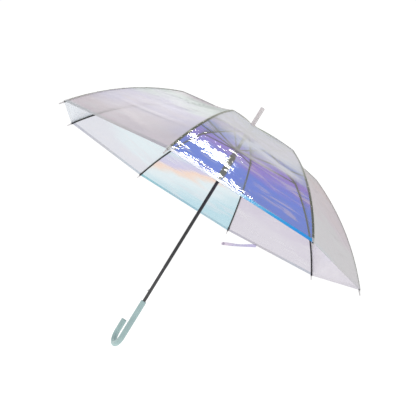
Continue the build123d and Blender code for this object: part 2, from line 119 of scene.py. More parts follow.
@dataclass(frozen=True)
class RibArc:
    """A circular arc in a rib's upright plane, bowed upwards from its chord.

    Args:
        start: first point, as (radius, height).
        end: last point, as (radius, height).
        bend: angle between the chord and the arc's end tangents, in radians.
    """

    start: Point2
    end: Point2
    bend: float

    @property
    def chord_slope(self) -> float:
        """The chord's angle below level, in radians."""
        return math.atan2(self.start[1] - self.end[1], self.end[0] - self.start[0])

    @property
    def radius(self) -> float:
        """The arc's radius."""
        return math.dist(self.start, self.end) / 2 / math.sin(self.bend)

    @property
    def length(self) -> float:
        """Length along the arc."""
        return 2 * self.radius * self.bend

    def slope(self, distance: float) -> float:
        """The angle below level at a distance along the arc, in radians."""
        return self.chord_slope - self.bend + distance / self.radius

    def point(self, distance: float, lift: float = 0.0) -> Point2:
        """A point along the arc.

        Args:
            distance: how far along, from the start.
            lift: how far above the arc, square to it.

        Returns:
            (radius from the shaft's axis, height).
        """
        first = self.slope(0.0)
        here = self.slope(distance)
        centre = (
            self.start[0] - self.radius * math.sin(first),
            self.start[1] - self.radius * math.cos(first),
        )
        out = self.radius + lift
        return centre[0] + out * math.sin(here), centre[1] + out * math.cos(here)


@dataclass(frozen=True)
class Dome:
    """The canopy's shape: two arcs along each rib, and straight chords from rib to rib."""

    rim_radius: float = 495 * MM
    rim_height: float = 380.055 * MM
    outer_sag: float = 20 * MM
    film_sag: float = 3 * MM
    film_start: Point2 = (16 * MM, 640.9 * MM)
    lift: float = 2.9 * MM
    edge_radius: float = 7.5 * MM

    @property
    def knee(self) -> Point2:
        """Where a rib's two lengths meet."""
        return upright(joint("knee_1")["pos_m"])

    def arc(self, half: Half) -> RibArc:
        """The film's arc over one length of a rib. The outer one is the rib's own, under the film.

        Args:
            half: which length of the rib.

        Returns:
            The arc.
        """
        rim = (self.rim_radius, self.rim_height)
        outer = RibArc(self.knee, rim, sagged(self.knee, rim, self.outer_sag))
        if half is Half.OUTER:
            return outer
        end = outer.point(0.0, self.lift)
        return RibArc(self.film_start, end, sagged(self.film_start, end, self.film_sag))

    def over_rib(self, half: Half, share: float, lift: float = 0.0) -> Point2:
        """A point of the film's ridge over a rib.

        Args:
            half: which length of the rib.
            share: how far along that length, from 0 to 1.
            lift: height over the film.

        Returns:
            (radius from the shaft's axis, height).
        """
        arc = self.arc(half)
        if half is Half.OUTER:
            return arc.point(share * arc.length, self.lift + lift)
        start = self.edge_radius - self.film_start[0]
        return arc.point(start + share * (arc.length - start), lift)

    def slope(self, half: Half, share: float) -> float:
        """The film's angle below level, in radians."""
        arc = self.arc(half)
        return arc.slope(share * arc.length)

    def along(self, half: Half, share: float) -> float:
        """Share of the whole way from crown to rim, for a pattern that runs over both halves.

        Args:
            half: which length of the rib.
            share: how far along that length, from 0 to 1.

        Returns:
            From 0 at the crown to 1 at the rim.
        """
        inner, outer = self.arc(Half.INNER).length, self.arc(Half.OUTER).length
        done = share * inner if half is Half.INNER else inner + share * outer
        return done / (inner + outer)


def sagged(start: Point2, end: Point2, sag: float) -> float:
    """The end angle of an arc that bows by this much from its chord."""
    return 2 * math.atan(2 * sag / math.dist(start, end))


def turned(points: np.ndarray, angle: float) -> np.ndarray:
    """Points turned about the shaft's axis.

    Args:
        points: rows of x, y, z.
        angle: in radians.

    Returns:
        The turned rows.
    """
    c, s = math.cos(angle), math.sin(angle)
    return points @ np.array([[c, s, 0], [-s, c, 0], [0, 0, 1]])


def grid_faces(rows: int, columns: int) -> list[tuple[int, int, int, int]]:
    """Quads of a grid of points that is stored row by row.

    Args:
        rows: how many rows of points.
        columns: how many points in a row.

    Returns:
        Four point numbers for each quad.
    """
    return [
        (r * columns + c, (r + 1) * columns + c, (r + 1) * columns + c + 1, r * columns + c + 1)
        for r in range(rows - 1)
        for c in range(columns - 1)
    ]


def mesh_object(
    name: str,
    points: np.ndarray,
    faces: Sequence[Sequence[int]],
    uv: np.ndarray | None = None,
    smooth: bool = True,
) -> bpy.types.Object:
    """A mesh object at the origin, with its place in its mesh.

    Args:
        name: the piece's name.
        points: rows of x, y, z in metres.
        faces: point numbers of each face.
        uv: one row of u, v for each point.
        smooth: shade the faces smooth.

    Returns:
        The new object, in the scene.
    """
    mesh = bpy.data.meshes.new(name)
    mesh.from_pydata([tuple(p) for p in points], [], [tuple(f) for f in faces])
    if uv is not None:
        layer = mesh.uv_layers.new(name="UVMap")
        numbers = np.zeros(len(mesh.loops), np.int32)
        mesh.loops.foreach_get("vertex_index", numbers)
        layer.data.foreach_set("uv", uv[numbers].astype(np.float32).ravel())
    mesh.polygons.foreach_set("use_smooth", [smooth] * len(mesh.polygons))
    mesh.update()
    made = bpy.data.objects.new(name, mesh)
    bpy.context.scene.collection.objects.link(made)
    return made


def attach(made: bpy.types.Object, body: str, finish: "Finish | None" = None) -> None:
    """Gives a piece of film its finish, body and slot.

    Args:
        made: the piece.
        body: the body that it rides on.
        finish: its finish. Without one it keeps what it has.
    """
    if finish is not None:
        made.data.materials.append(finish.material())
    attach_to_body(made, body)


def surface_area(made: bpy.types.Object) -> float:
    """A mesh's whole area in square metres."""
    return sum(p.area for p in made.data.polygons)


# ---- Shader building ----


class NodeTree:
    """Short calls for building one shader node tree."""

    def __init__(self, tree: bpy.types.NodeTree) -> None:
        """Wraps a node tree."""
        self.tree = tree
        self.column = 0

    def add(self, kind: str, **settings: object) -> bpy.types.Node:
        """A new node.

        Args:
            kind: the node's type, without its ShaderNode prefix.
            **settings: attributes to set on it.

        Returns:
            The node.
        """
        prefix = "" if kind.startswith(("NodeGroup", "Shader")) else "ShaderNode"
        node = self.tree.nodes.new(prefix + kind)
        node.location = (180 * self.column, -40 * (self.column % 7))
        self.column += 1
        for key, value in settings.items():
            setattr(node, key, value)
        return node

    def link(self, source: bpy.types.NodeSocket, target: bpy.types.NodeSocket) -> None:
        """Joins two sockets."""
        self.tree.links.new(source, target)

    def put(self, value: object, target: bpy.types.NodeSocket) -> None:
        """Links a socket, or sets a constant.

        Args:
            value: socket, number or colour.
            target: the input.
        """
        if isinstance(value, bpy.types.NodeSocket):
            self.link(value, target)
        else:
            target.default_value = value

    def math(self, operation: str, *values: object, clamp: bool = False) -> bpy.types.NodeSocket:
        """The result of a Math node.

        Args:
            operation: the node's operation.
            *values: sockets or numbers.
            clamp: keep the result from 0 to 1.

        Returns:
            The result's socket.
        """
        node = self.add("Math", operation=operation, use_clamp=clamp)
        for value, target in zip(values, node.inputs):
            self.put(value, target)
        return node.outputs[0]

    def mix(self, factor: object, first: object, second: object, how: str = "MIX") -> bpy.types.NodeSocket:
        """The colour that a Mix node gives.

        Args:
            factor: socket or number.
            first: socket or colour.
            second: socket or colour.
            how: the blend type.

        Returns:
            The colour socket.
        """
        node = self.add("Mix", data_type="RGBA", blend_type=how)
        self.put(factor, node.inputs["Factor"])
        for value, target in ((first, node.inputs[6]), (second, node.inputs[7])):
            self.put((*value, 1.0) if isinstance(value, tuple) and len(value) == 3 else value, target)
        return node.outputs[2]

    def band(self, value: object, low: float, high: float) -> bpy.types.NodeSocket:
        """A smooth step.

        Args:
            value: socket or number.
            low: where the step is 0.
            high: where it is 1.

        Returns:
            The step's socket.
        """
        node = self.add("MapRange", interpolation_type="SMOOTHSTEP", clamp=True)
        self.put(value, node.inputs["Value"])
        node.inputs["From Min"].default_value = low
        node.inputs["From Max"].default_value = high
        return node.outputs["Result"]

    def noise(
        self, vector: object, scale: float, detail: float = 3.0, distortion: float = 0.0
    ) -> bpy.types.Node:
        """A noise texture node.

        Args:
            vector: socket of the place.
            scale: how fine it is.
            detail: how many finer layers it has.
            distortion: how far it is stirred.

        Returns:
            The node.
        """
        node = self.add("TexNoise")
        self.put(vector, node.inputs["Vector"])
        node.inputs["Scale"].default_value = scale
        node.inputs["Detail"].default_value = detail
        node.inputs["Distortion"].default_value = distortion
        return node

    def bump(self, height: object, strength: float, distance: float) -> bpy.types.NodeSocket:
        """The normal of a Bump node.

        Args:
            height: socket of the height.
            strength: from 0 to 1.
            distance: how high a height of 1 stands, in metres.

        Returns:
            The normal's socket.
        """
        node = self.add("Bump")
        self.put(height, node.inputs["Height"])
        node.inputs["Strength"].default_value = strength
        node.inputs["Distance"].default_value = distance
        return node.outputs["Normal"]


def new_group(
    name: str, inputs: Iterable[tuple[str, str, object]], outputs: Iterable[tuple[str, str]]
) -> NodeTree:
    """An empty shader node group with its sockets.

    Args:
        name: the group's name.
        inputs: (name, socket type, default) of each input.
        outputs: (name, socket type) of each output.

    Returns:
        The group, wrapped.
    """
    tree = bpy.data.node_groups.new(name, "ShaderNodeTree")
    for label, kind, default in inputs:
        made = tree.interface.new_socket(label, in_out="INPUT", socket_type=kind)
        if default is not None:
            made.default_value = default
    for label, kind in outputs:
        tree.interface.new_socket(label, in_out="OUTPUT", socket_type=kind)
    return NodeTree(tree)


def grain_group() -> bpy.types.NodeTree:
    """Fine surface grain: a height for bump and a small spread of roughness."""
    group = new_group(
        "surface_grain",
        [
            ("Vector", "NodeSocketVector", None),
            ("Scale", "NodeSocketFloat", 400.0),
            ("Rough", "NodeSocketFloat", 0.4),
        ],
        [("Height", "NodeSocketFloat"), ("Roughness", "NodeSocketFloat")],
    )
    entry, leave = group.add("NodeGroupInput"), group.add("NodeGroupOutput")
    fine = group.noise(entry.outputs["Vector"], 1.0, 4.0)
    group.link(entry.outputs["Scale"], fine.inputs["Scale"])
    broad = group.noise(entry.outputs["Vector"], 35.0, 2.0)
    group.link(fine.outputs["Fac"], leave.inputs["Height"])
    spread = group.math("MULTIPLY_ADD", broad.outputs["Fac"], ROUGHNESS_SPREAD, -ROUGHNESS_SPREAD / 2)
    group.link(group.math("ADD", entry.outputs["Rough"], spread), leave.inputs["Roughness"])
    return group.tree


def wear_group() -> bpy.types.NodeTree:
    """Handling marks: a tint that darkens or lightens a colour in soft patches and thin scuffs."""
    group = new_group(
        "handling_wear",
        [
            ("Vector", "NodeSocketVector", None),
            ("Color", "NodeSocketColor", None),
            ("Amount", "NodeSocketFloat", 0.2),
        ],
        [("Color", "NodeSocketColor")],
    )
    entry, leave = group.add("NodeGroupInput"), group.add("NodeGroupOutput")
    patches = group.noise(entry.outputs["Vector"], 22.0, 5.0, 0.4)
    shade = group.band(patches.outputs["Fac"], 0.35, 0.7)
    stretch = group.add("Mapping")
    stretch.inputs["Scale"].default_value = SCUFF_STRETCH
    group.link(entry.outputs["Vector"], stretch.inputs["Vector"])
    scuffs = group.noise(stretch.outputs["Vector"], 420.0, 2.0)
    thin = group.band(scuffs.outputs["Fac"], 0.62, 0.7)
    shaded, scuffed = (group.math("MULTIPLY", part, entry.outputs["Amount"]) for part in (shade, thin))
    dark = group.mix(shaded, entry.outputs["Color"], (0.0, 0.0, 0.0))
    light = group.mix(scuffed, dark, (0.9, 0.9, 0.9))
    group.link(light, leave.inputs["Color"])
    return group.tree


def film_group() -> bpy.types.NodeTree:
    """Phase of the dichroic colours: it runs from crown to rim or from rib to rib, in long uneven streaks."""
    group = new_group(
        "dichroic_phase",
        [
            ("Vector", "NodeSocketVector", None),
            ("Seed", "NodeSocketFloat", 0.0),
            ("Wander", "NodeSocketFloat", 0.3),
            ("Turn", "NodeSocketFloat", 0.0),
            ("Slant", "NodeSocketFloat", 0.0),
        ],
        [("Phase", "NodeSocketFloat"), ("Streaks", "NodeSocketFloat"), ("Ripple", "NodeSocketFloat")],
    )
    entry, leave = group.add("NodeGroupInput"), group.add("NodeGroupOutput")
    parts = group.add("SeparateXYZ")
    group.link(entry.outputs["Vector"], parts.inputs[0])
    across, along = parts.outputs["X"], parts.outputs["Y"]
    fields = {}
    for label, wide, long, detail in (
        ("broad", 1.3, 9.0, 3.0),
        ("fine", 3.0, 34.0, 4.0),
        ("ripple", 5.0, 17.0, 3.0),
    ):
        spread = group.add("CombineXYZ")
        group.link(group.math("MULTIPLY", across, wide), spread.inputs["X"])
        group.link(group.math("MULTIPLY", along, long), spread.inputs["Y"])
        group.link(entry.outputs["Seed"], spread.inputs["Z"])
        fields[label] = group.noise(spread.outputs["Vector"], 1.0, detail, 0.7).outputs["Fac"]
    turned_by = group.math("MULTIPLY", group.math("SUBTRACT", across, along), entry.outputs["Turn"])
    slanted_by = group.math("MULTIPLY", group.math("SUBTRACT", across, 0.5), entry.outputs["Slant"])
    wandered = group.math("MULTIPLY", group.math("SUBTRACT", fields["broad"], 0.5), entry.outputs["Wander"])
    phase = group.math("ADD", group.math("ADD", along, turned_by), group.math("ADD", slanted_by, wandered))
    group.link(phase, leave.inputs["Phase"])
    group.link(fields["fine"], leave.inputs["Streaks"])
    group.link(fields["ripple"], leave.inputs["Ripple"])
    return group.tree


GROUPS = {"grain": grain_group(), "wear": wear_group(), "film": film_group()}


def new_material(name: str) -> tuple[bpy.types.Material, NodeTree, bpy.types.Node]:
    """A material with an empty Principled shader.

    Args:
        name: the finish's name.

    Returns:
        The material, its wrapped tree and its Principled node.
    """
    material = bpy.data.materials.new(name)
    material.use_nodes = True
    tree = NodeTree(material.node_tree)
    return material, tree, material.node_tree.nodes["Principled BSDF"]


def placed_group(tree: NodeTree, which: str, **values: object) -> bpy.types.Node:
    """One of the shared groups, placed in a material.

    Args:
        tree: the material's tree.
        which: the group's key.
        **values: its inputs, by name.

    Returns:
        The group node.
    """
    node = tree.add("Group")
    node.node_tree = GROUPS[which]
    for name, value in values.items():
        if isinstance(value, tuple) and len(value) == 3:
            value = (*value, 1.0)
        tree.put(value, node.inputs[name])
    return node


def worn_surface(tree: NodeTree, shader: bpy.types.Node, finish: "Finish") -> tuple[bpy.types.NodeSocket, ...]:
    """Grain and handling marks for a hard finish, from its grain, roughness, colour and wear.

    Args:
        tree: the material's tree.
        shader: its Principled node, which gets its roughness here.
        finish: the finish that is built.

    Returns:
        The object coordinates, the worn colour and the grain's height.
    """
    where = tree.add("TexCoord").outputs["Object"]
    grain = placed_group(tree, "grain", Vector=where, Scale=finish.grain, Rough=finish.roughness)
    wear = placed_group(tree, "wear", Vector=where, Color=finish.colour, Amount=finish.wear)
    tree.link(grain.outputs["Roughness"], shader.inputs["Roughness"])
    return where, wear.outputs["Color"], grain.outputs["Height"]


class Finish:
    """A finish that builds its material once."""

    name: str
    _made: dict[str, bpy.types.Material] = {}

    def material(self) -> bpy.types.Material:
        """The material, built the first time it is asked for."""
        if self.name not in Finish._made:
            Finish._made[self.name] = self.build()
        return Finish._made[self.name]

    def build(self) -> bpy.types.Material:
        """Builds the material."""
        raise NotImplementedError


@dataclass(frozen=True)
class MouldedPlastic(Finish):
    """Injection-moulded plastic with a faint grain and handling marks, and where it has a glancing shade, a
    painted shade where the surface faces away from the view.
    """

    name: str
    colour: RGB
    roughness: float = 0.35
    grain: float = 900.0
    bump: float = 0.15
    wear: float = 0.08
    translucency: float = 0.0
    alpha: float = 1.0
    glancing_shade: RGB | None = None
    parting_line: bool = False

    def build(self) -> bpy.types.Material:
        """Builds the material."""
        material, tree, shader = new_material(self.name)
        where, colour, height = worn_surface(tree, shader, self)
        if self.parting_line:
            parts = tree.add("SeparateXYZ")
            tree.link(where, parts.inputs[0])
            beside = tree.band(tree.math("ABSOLUTE", parts.outputs["Y"]), *PARTING_WIDTH)
            line = tree.math("SUBTRACT", 1.0, beside)
            colour = tree.mix(tree.math("MULTIPLY", line, PARTING_DARKNESS), colour, PARTING_SHADE)
            height = tree.math("SUBTRACT", height, tree.math("MULTIPLY", line, PARTING_DEPTH))
        # Painted shade: the colour darkens towards the glancing shade where the surface faces away from the
        # view.
        if self.glancing_shade is not None:
            rim = tree.add("LayerWeight")
            rim.inputs["Blend"].default_value = 0.5
            colour = tree.mix(tree.band(rim.outputs["Facing"], *EDGE_FROM), colour, self.glancing_shade)
        tree.link(colour, shader.inputs["Base Color"])
        tree.link(tree.bump(height, self.bump, 0.2 * MM), shader.inputs["Normal"])
        shader.inputs["IOR"].default_value = PLASTIC_INDEX
        shader.inputs["Subsurface Weight"].default_value = self.translucency
        shader.inputs["Subsurface Radius"].default_value = (PLASTIC_SCATTER,) * 3
        shader.inputs["Alpha"].default_value = self.alpha
        return material


@dataclass(frozen=True)
class Metal(Finish):
    """Lacquered or bare steel."""

    name: str
    colour: RGB
    metallic: float
    roughness: float
    coat: float = 0.0
    grain: float = 1400.0
    bump: float = 0.08
    wear: float = 0.05

    def build(self) -> bpy.types.Material:
        """Builds the material."""
        material, tree, shader = new_material(self.name)
        _, colour, height = worn_surface(tree, shader, self)
        tree.link(colour, shader.inputs["Base Color"])
        tree.link(tree.bump(height, self.bump, 0.1 * MM), shader.inputs["Normal"])
        shader.inputs["Metallic"].default_value = self.metallic
        shader.inputs["Coat Weight"].default_value = self.coat
        shader.inputs["Coat Roughness"].default_value = COAT_ROUGHNESS
        return material


@dataclass(frozen=True)
class Film(Finish):
    """Clear film with a dichroic layer. It tints what shows through it, and at a glancing angle hides more of
    it behind a painted sheen.

    Args:
        name: the finish's name.
        stops: (phase, tint of what shows through) of each band.
        body: the colour that the film itself returns, face on.
        body_tint: how much of the bands' colours the body keeps.
        opacity: how much the film hides what is behind it, face on.
        glancing_sheen: a painted sheen, the colour that it returns at a glancing angle.
        veil_opacity: how much it hides at a glancing angle.
        sheen_from: (facing value at which the painted sheen starts, and at which it is full).
        sheen_tint: how much of the bands' colours the painted sheen keeps.
        streak: colour of the fine streaks.
        streaks: how strong the fine streaks are.
        seed: picks the streaks.
        wander: how far the streaks move the bands.
        turn: 0 for bands from crown to rim, 1 for bands from rib to rib.
        slant: how far the bands slant from rib to rib.
        roughness: of its surface.
        ripple: how uneven its surface is.
        index: its refractive index, high where the coating mirrors.
    """

    name: str
    stops: tuple[tuple[float, RGB], ...]
    body: RGB = (0.6, 0.6, 0.6)
    body_tint: float = 0.0
    opacity: float = 0.3
    glancing_sheen: RGB = (0.57, 0.55, 0.57)
    veil_opacity: float = 0.94
    sheen_from: tuple[float, float] = (0.42, 0.68)
    sheen_tint: float = 0.3
    streak: RGB = (0.8, 0.78, 0.82)
    streaks: float = 0.35
    seed: float = 0.0
    wander: float = 0.45
    turn: float = 0.0
    slant: float = 0.0
    roughness: float = 0.24
    ripple: float = 0.25
    index: float = 1.55

    def build(self) -> bpy.types.Material:
        """Builds the material."""
        material, tree, shader = new_material(self.name)
        where = tree.add("TexCoord").outputs["UV"]
        phase = placed_group(
            tree, "film", Vector=where, Seed=self.seed, Wander=self.wander, Turn=self.turn, Slant=self.slant
        )
        ramp = tree.add("ValToRGB")
        ramp.color_ramp.interpolation = "EASE"
        marks = ramp.color_ramp.elements
        while len(marks) < len(self.stops):
            marks.new(0.5)
        for mark, (place, colour) in zip(marks, self.stops):
            mark.position = place
            mark.color = (*colour, 1.0)
        tree.link(phase.outputs["Phase"], ramp.inputs["Fac"])
        thin = tree.math("MULTIPLY", tree.band(phase.outputs["Streaks"], *STREAK_FROM), self.streaks)
        tint = tree.mix(thin, ramp.outputs["Color"], self.streak)
        # Painted sheen: where the surface faces away from the view the base colour turns to the sheen colour,
        # and the film hides more of what is behind it.
        facing = tree.add("LayerWeight")
        facing.inputs["Blend"].default_value = 0.5
        glancing_share = tree.band(facing.outputs["Facing"], *self.sheen_from)
        glancing_sheen = tree.mix(self.sheen_tint, self.glancing_sheen, tint)
        body = tree.mix(self.body_tint, self.body, tint)
        tree.link(tree.mix(glancing_share, body, glancing_sheen), shader.inputs["Base Color"])
        shader.inputs["Roughness"].default_value = self.roughness
        shader.inputs["IOR"].default_value = self.index
        normal = tree.bump(phase.outputs["Ripple"], self.ripple, 4 * MM)
        tree.link(normal, shader.inputs["Normal"])
        clear = tree.add("BsdfTransparent")
        tree.link(tint, clear.inputs["Color"])
        both = tree.add("MixShader")
        hidden = tree.math("MULTIPLY_ADD", glancing_share, self.veil_opacity - self.opacity, self.opacity)
        tree.link(hidden, both.inputs["Fac"])
        tree.link(clear.outputs[0], both.inputs[1])
        tree.link(shader.outputs[0], both.inputs[2])
        tree.link(both.outputs[0], material.node_tree.nodes["Material Output"].inputs["Surface"])
        return material


# ---- The canopy ----


@dataclass(frozen=True)
class Patch:
    """A part of the film over one rib, in shares of its length and of the way to the gores' middles."""

    half: Half
    start: float = 0.0
    end: float = 1.0
    reach: float = 1.0
    lift: float = 0.0
    rows: int = 37
    columns: int = 15


@dataclass
class Canopy:
    """The dome of film, in pieces that each lie over one rib as far as the middle of its two gores."""

    dome: Dome = field(default_factory=Dome)
    closed_width: float = 0.06
    dip: float = 7 * MM
    seam_width: float = 6 * MM
    hem_width: float = 9 * MM
    corner_patch: float = 13 * MM
    layer: float = 0.35 * MM
    rosette: float = 26 * MM
    scallop: float = 0.05
    weld_counts: dict[Half, int] = field(default_factory=lambda: {Half.INNER: 5, Half.OUTER: 9})
    weld_reach: Point2 = (0.12, 0.93)
    creases: int = 12
    crease_depth: float = 1 * MM
    crease_place: Point2 = (0.35, 0.97)
    crease_slant: float = 0.12
    crease_middle: Point2 = (-0.8, 0.8)
    crease_reach: Point2 = (0.25, 0.6)
    crease_width: Point2 = (0.008, 0.03)
    seam_share: float = 1.2

    def crease(self, gore: int, v: np.ndarray, w: np.ndarray) -> np.ndarray:
        """How far the film lies below the straight chords between the ribs.

        Args:
            gore: the gore's number.
            v: from 0 at the crown to 1 at the rim.
            w: from -1 at the lower-numbered rib to 1 at the other.

        Returns:
            Depths in metres, 0 at the ribs.
        """
        chance = np.random.default_rng(gore)
        depth = np.zeros_like(v)
        for _ in range(self.creases):
            place, slant = chance.uniform(*self.crease_place), chance.normal(0.0, self.crease_slant)
            middle, reach = chance.uniform(*self.crease_middle), chance.uniform(*self.crease_reach)
            width, side = chance.uniform(*self.crease_width), chance.choice([-1.0, 1.0])
            off = v - place - slant * (w - middle)
            fade = np.exp(-((off / width) ** 2)) * np.exp(-(((w - middle) / reach) ** 2))
            depth += side * self.crease_depth * fade
        tension = self.dip * np.sin(math.pi * np.clip(v, 0, 1)) * (1 - w**2)
        return tension + depth * (1 - w**4)

    def surface(self, gore: int, patch: Patch, share: np.ndarray, w: np.ndarray) -> np.ndarray:
        """Points of the film in one gore.

        Args:
            gore: the gore's number.
            patch: which part of the film, for its half and lift.
            share: how far along the half, from 0 to 1.
            w: from -1 at the lower-numbered rib to 1 at the other.

        Returns:
            Rows of x, y, z.
        """
        ridge = np.array([self.dome.over_rib(patch.half, s, patch.lift) for s in share])
        slope = np.array([self.dome.slope(patch.half, s) for s in share])
        v = np.array([self.dome.along(patch.half, s) for s in share])
        depth = self.crease(gore, v, w)
        middle = ridge[:, 0] * math.cos(HALF_STEP) - depth * np.sin(slope)
        side = ridge[:, 0] * math.sin(HALF_STEP) * w
        height = ridge[:, 1] - depth * np.cos(slope)
        return turned(np.stack([middle, side, height], axis=1), rib_azimuth(gore + 0.5))

    def normals(
        self, gore: int, patch: Patch, share: np.ndarray, w: np.ndarray, small: float = 1e-3
    ) -> np.ndarray:
        """Upward normals of the film in one gore.

        Args:
            gore: the gore's number.
            patch: which part of the film.
            share: how far along the half, from 0 to 1.
            w: from -1 at the lower-numbered rib to 1 at the other.
            small: how far either side of each place the film is measured.

        Returns:
            Rows of unit normals.
        """
        out = self.surface(gore, patch, share + small, w) - self.surface(gore, patch, share - small, w)
        over = self.surface(gore, patch, share, w + small) - self.surface(gore, patch, share, w - small)
        square = np.cross(out, over)
        return square * np.sign(square[:, 2:]) / np.linalg.norm(square, axis=1, keepdims=True)

    def facet(self, rib: int, patch: Patch, upper: bool) -> tuple[np.ndarray, np.ndarray, np.ndarray]:
        """One side of a patch, from its rib towards the middle of a gore.

        Args:
            rib: the rib's number.
            patch: the part of the film.
            upper: the side of the next rib, or of the one before.

        Returns:
            Points, normals, and u, v rows.
        """
        gore = rib if upper else (rib - 2) % RIB_COUNT + 1
        share = np.repeat(np.linspace(patch.start, patch.end, patch.rows), patch.columns)
        toward = np.tile(np.linspace(0, patch.reach, patch.columns), patch.rows)
        w = toward - 1 if upper else 1 - toward
        v = np.array([self.dome.along(patch.half, s) for s in share])
        uv = np.stack([(1 + w) / 2, v], axis=1)
        return self.surface(gore, patch, share, w), self.normals(gore, patch, share, w), uv

    def fold_axis(self, rib: int, half: Half, upper: bool) -> tuple[Point3, Point3]:
        """The direction in which one side of a rib's film gathers to the rib as it folds.

        Args:
            rib: the rib's number.
            half: which length of the rib.
            upper: the side of the next rib, or of the one before.

        Returns:
            The direction, square to the rib and within the film, and a point on the rib.
        """
        slope, turn = self.dome.arc(half).chord_slope, rib_azimuth(rib)
        lean = math.sin(HALF_STEP) * math.sin(slope)
        side = math.cos(HALF_STEP) if upper else -math.cos(HALF_STEP)
        radius, height = self.dome.over_rib(half, 0.5)
        axis = np.array([[-lean * math.sin(slope), side, -lean * math.cos(slope)], [radius, 0.0, height]])
        direction, anchor = turned(axis, turn).tolist()
        return tuple(direction), tuple(anchor)

    def build_patch(
        self, name: str, rib: int, patch: Patch, finishes: Sequence[Finish]
    ) -> list[bpy.types.Object]:
        """A patch over one rib, as two meshes that ride on the rib, one on each side of it.

        Args:
            name: the start of the pieces' names.
            rib: the rib's number.
            patch: the part of the film.
            finishes: of the side before the rib, and of the side after it.

        Returns:
            The new objects.
        """
        pieces = []
        for upper, finish in zip((False, True), finishes):
            points, normals, uv = self.facet(rib, patch, upper)
            faces = grid_faces(patch.rows, patch.columns)
            if not upper:
                faces = [tuple(reversed(f)) for f in faces]
            made = mesh_object(f"{name}_{'after' if upper else 'before'}", points, faces, uv)
            made.data.normals_split_custom_set_from_vertices(normals.tolist())
            attach(made, f"rib_{patch.half.value}_{rib}", finish)
            axis, anchor = self.fold_axis(rib, patch.half, upper)
            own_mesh(made)
            width = patch.reach * self.dome.over_rib(patch.half, patch.end)[0] * math.sin(HALF_STEP)
            length = (patch.end - patch.start) * self.dome.arc(patch.half).length
            self.declare(patch.half, (width, length))
            LOG.info("%s covers %.4f square metres", made.name, surface_area(made))
            pieces.append(made)
        return pieces

    def declare(self, half: Half, size: Point2) -> None:
        """Works out the width and length of a piece's flat cut, each no less than the least sheet width, and
        does nothing with them.

        Args:
            half: which length of the rib. Not used.
            size: width and length of its flat cut.
        """
        width, length = (max(LEAST_SHEET_WIDTH, side) for side in size)

    def build(self, gores: Sequence[Finish], hems: Sequence[Finish], seam: Finish, corner: Finish) -> None:
        """Builds the film, its seams, its hem and its corner patches.

        Args:
            gores: finish of each gore's film.
            hems: finish of each gore's hem.
            seam: finish of the welded seams.
            corner: finish of the corner patches.
        """
        outer = self.dome.arc(Half.OUTER).length
        reach = self.seam_width / (2 * self.dome.rim_radius * math.sin(HALF_STEP))
        for rib in range(1, RIB_COUNT + 1):
            pair = (rib - 2) % RIB_COUNT, rib - 1
            film = [gores[n] for n in pair]
            hem = [hems[n] for n in pair]
            for half in Half:
                for made in self.build_patch(f"film_{half.value}_{rib}", rib, Patch(half), film):
                    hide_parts(f"canopy_{half.value}_{rib}")
                self.build_seam(rib, half, seam)
            strip = Patch(Half.OUTER, 1 - self.hem_width / outer, 1.0, lift=self.layer, rows=4)
            self.build_patch(f"hem_{rib}", rib, strip, hem)
            start = 1 - self.corner_patch / outer
            square = Patch(Half.OUTER, start, 1.0, 2 * reach, 3 * self.layer, rows=5, columns=5)
            self.build_patch(f"corner_patch_{rib}", rib, square, [corner, corner])

    def build_seam(self, rib: int, half: Half, finish: Finish) -> None:
        """Builds the welded seam over one length of a rib: a strip folded over the ridge.

        Args:
            rib: the rib's number.
            half: which length of the rib.
            finish: of the seam.
        """
        rows, columns = 41, 5
        points, uv = [], []
        for share in np.linspace(0.0, 1.0, rows):
            r, z = self.dome.over_rib(half, share, 2 * self.layer)
            slope = self.dome.slope(half, share)
            width = min(self.seam_width, self.seam_share * r * math.sin(HALF_STEP))
            for w in np.linspace(-1, 1, columns):
                side = w * width / 2
                sink = abs(side) * math.tan(HALF_STEP) * math.sin(slope)
                points.append((r - sink * math.sin(slope), side, z - sink * math.cos(slope)))
                uv.append((0.5 + w / 2, self.dome.along(half, share)))
        placed = turned(np.array(points), rib_azimuth(rib))
        made = mesh_object(f"seam_{half.value}_{rib}", placed, grid_faces(rows, columns), np.array(uv))
        attach(made, f"rib_{half.value}_{rib}", finish)
        self.declare(half, (self.seam_width, self.dome.arc(half).length))

    def build_rosette(self, finish: Finish) -> None:
        """Builds the round patch that strengthens the film round the shaft.

        Args:
            finish: of the patch.
        """
        rings, spokes = 7, 8 * RIB_COUNT
        points, uv = [], []
        for step in range(rings):
            for spoke in range(spokes):
                angle = 2 * math.pi * spoke / spokes
                scallop = 1 + self.scallop * math.cos(RIB_COUNT * (angle - FIRST_RIB)) * step / (rings - 1)
                radius = self.dome.edge_radius + (self.rosette - self.dome.edge_radius) * step / (rings - 1)
                share = (radius - self.dome.edge_radius) / self.dome.knee[0]
                height = self.dome.over_rib(Half.INNER, share, 2 * self.layer)[1]
                points.append((radius * scallop * math.cos(angle), radius * scallop * math.sin(angle), height))
                uv.append((spoke / spokes, step / (rings - 1)))
        faces = []
        for low in range(0, (rings - 1) * spokes, spokes):
            for here in range(spokes):
                after = (here + 1) % spokes
                faces.append((low + here, low + spokes + here, low + spokes + after, low + after))
        made = mesh_object("crown_rosette", np.array(points), faces, np.array(uv))
        attach(made, "shaft", finish)

    def build_welds(self, finish: Finish) -> None:
        """Builds the row of weld dots that holds the film to each length of rib.

        Args:
            finish: of the dots.
        """
        for rib in range(1, RIB_COUNT + 1):
            for half, count in self.weld_counts.items():
                shares = np.linspace(*self.weld_reach, 2 * count)
                ridge = (self.dome.over_rib(half, share, 2 * self.layer) for share in shares)
                line = np.array([(radius, 0.0, height) for radius, height in ridge])
                made = dots_along(f"welds_{half.value}_{rib}", turned(line, rib_azimuth(rib)), count, finish)
                attach(made, f"rib_{half.value}_{rib}")
                LOG.info("%s has %d dots", made.name, count)


# ---- Repeated pieces ----


